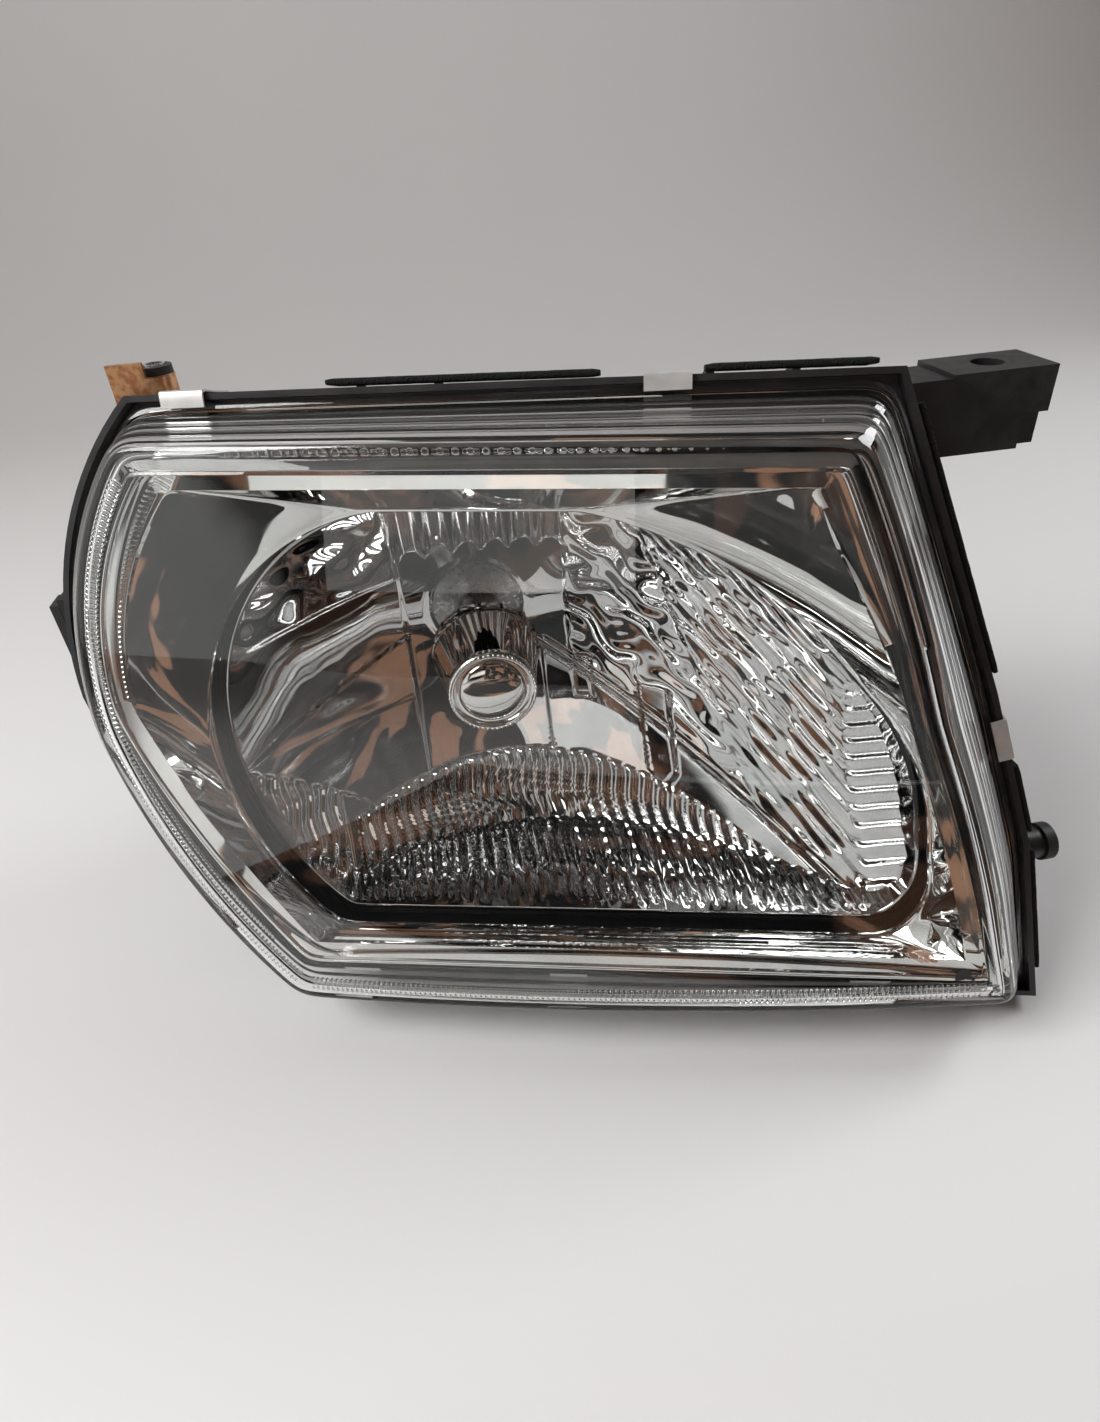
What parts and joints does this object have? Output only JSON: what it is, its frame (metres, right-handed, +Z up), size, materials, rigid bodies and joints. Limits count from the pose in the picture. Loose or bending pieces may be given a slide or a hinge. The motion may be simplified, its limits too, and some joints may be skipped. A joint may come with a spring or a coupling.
{
  "type": "car headlight assembly",
  "caption": "Black-bodied vehicle headlight with a clear raked lens, chrome trim, aimable faceted reflector, shaded halogen bulb, rear boot and mounting ears.",
  "frame": {"origin": "centre of the top mouth of the vertical bolt bore in the upper right ear", "axes": "+Z up along the bolt bore, -Y out of the front of the lamp along the optical axis, +X to the right seen from the front"},
  "size_m": [0.3482, 0.2157, 0.2188],
  "materials": {
    "black_moulding": "fine grained black moulding",
    "clear_lens": "clear polished, with fine flutes in its border",
    "sealant": "satin bead",
    "bright_trim": "vacuum plated, mirror bright",
    "mirror_coat": "aluminised, mirror bright",
    "spring_steel": "bright rolled strip and wire",
    "black_foam": "open cell, dead matt",
    "copper_plate": "glossy copper brown plate",
    "zinc_steel": "zinc plated",
    "black_rubber": "satin rubber",
    "white_nylon": "natural nylon",
    "bulb_glass": "clear tube",
    "tungsten": "dark drawn wire",
    "grey_ceramic": "glazed",
    "brass_blade": "bright stamped"
  },
  "bodies": {
    "housing": {"housing_shell": "black_moulding", "lens": "clear_lens", "lens_seal": "sealant", "bezel": "bright_trim", "lens_clips": "spring_steel", "foam_top": "black_foam", "foam_side": "black_foam", "left_bracket": "copper_plate", "bracket_screws": "zinc_steel", "bracket_bush": "black_rubber", "bracket_sleeve": "zinc_steel", "left_pad": "black_rubber", "right_stop": "black_rubber", "vent_elbows": "black_rubber", "pivot_ball_stud": "zinc_steel", "pivot_nut": "zinc_steel", "level_seal": "black_rubber", "swing_seal": "black_rubber"},
    "swing_frame": {"pivot_socket": "white_nylon"},
    "reflector": {"reflector": "mirror_coat", "bulb_shield": "bright_trim", "shield_screw": "zinc_steel", "bulb_glass": "bulb_glass", "bulb_filaments": "tungsten", "filament_posts": "tungsten", "bulb_cap": "zinc_steel", "bulb_insulator": "grey_ceramic", "bulb_blades": "brass_blade", "clip_bracket": "zinc_steel", "clip_catch": "zinc_steel", "level_socket": "white_nylon", "swing_socket": "white_nylon"},
    "level_rod": {"level_rod": "zinc_steel"},
    "level_knob": {"level_knob": "white_nylon"},
    "swing_rod": {"swing_rod": "zinc_steel"},
    "swing_knob": {"swing_knob": "white_nylon"},
    "bulb_clip": {"bulb_clip": "spring_steel"},
    "boot": {"rear_boot": "black_rubber"}
  },
  "joints": [
    {"name": "reflector_swing", "type": "hinge", "parent": "housing", "child": "swing_frame", "pos_m": [-0.081, 0.059, -0.05], "axis": [0, 0, 1], "range_deg": [-2, 2]},
    {"name": "reflector_level", "type": "hinge", "parent": "swing_frame", "child": "reflector", "pos_m": [-0.081, 0.059, -0.05], "axis": [1, 0, 0], "range_deg": [-2, 2]},
    {"name": "level_knob_turn", "type": "hinge", "parent": "housing", "child": "level_knob", "pos_m": [-0.081, 0.079, -0.135], "axis": [0, 1, 0], "range_deg": [-710, 710]},
    {"name": "level_rod_slide", "type": "slide", "parent": "housing", "child": "level_rod", "axis": [0, 1, 0], "range_m": [-0.003, 0.003]},
    {"name": "swing_knob_turn", "type": "hinge", "parent": "housing", "child": "swing_knob", "pos_m": [-0.231, 0.079, -0.05], "axis": [0, 1, 0], "range_deg": [-1250, 1250]},
    {"name": "swing_rod_slide", "type": "slide", "parent": "housing", "child": "swing_rod", "axis": [0, 1, 0], "range_m": [-0.0053, 0.0053]},
    {"name": "bulb_clip_open", "type": "hinge", "parent": "reflector", "child": "bulb_clip", "pos_m": [-0.1915, 0.0769, -0.0945], "axis": [0, 0, 1], "range_deg": [0, 19]},
    {"name": "boot_pull", "type": "slide", "parent": "housing", "child": "boot", "axis": [0, 1, 0], "range_m": [0, 0.045]}
  ],
  "couplings": [
    {"joint": "reflector_level", "follows": "level_knob_turn", "ratio": -0.0028086},
    {"joint": "level_rod_slide", "follows": "level_knob_turn", "m_per_rad": -0.00023873},
    {"joint": "reflector_swing", "follows": "swing_knob_turn", "ratio": 0.0015915},
    {"joint": "swing_rod_slide", "follows": "swing_knob_turn", "m_per_rad": -0.00023873}
  ]
}
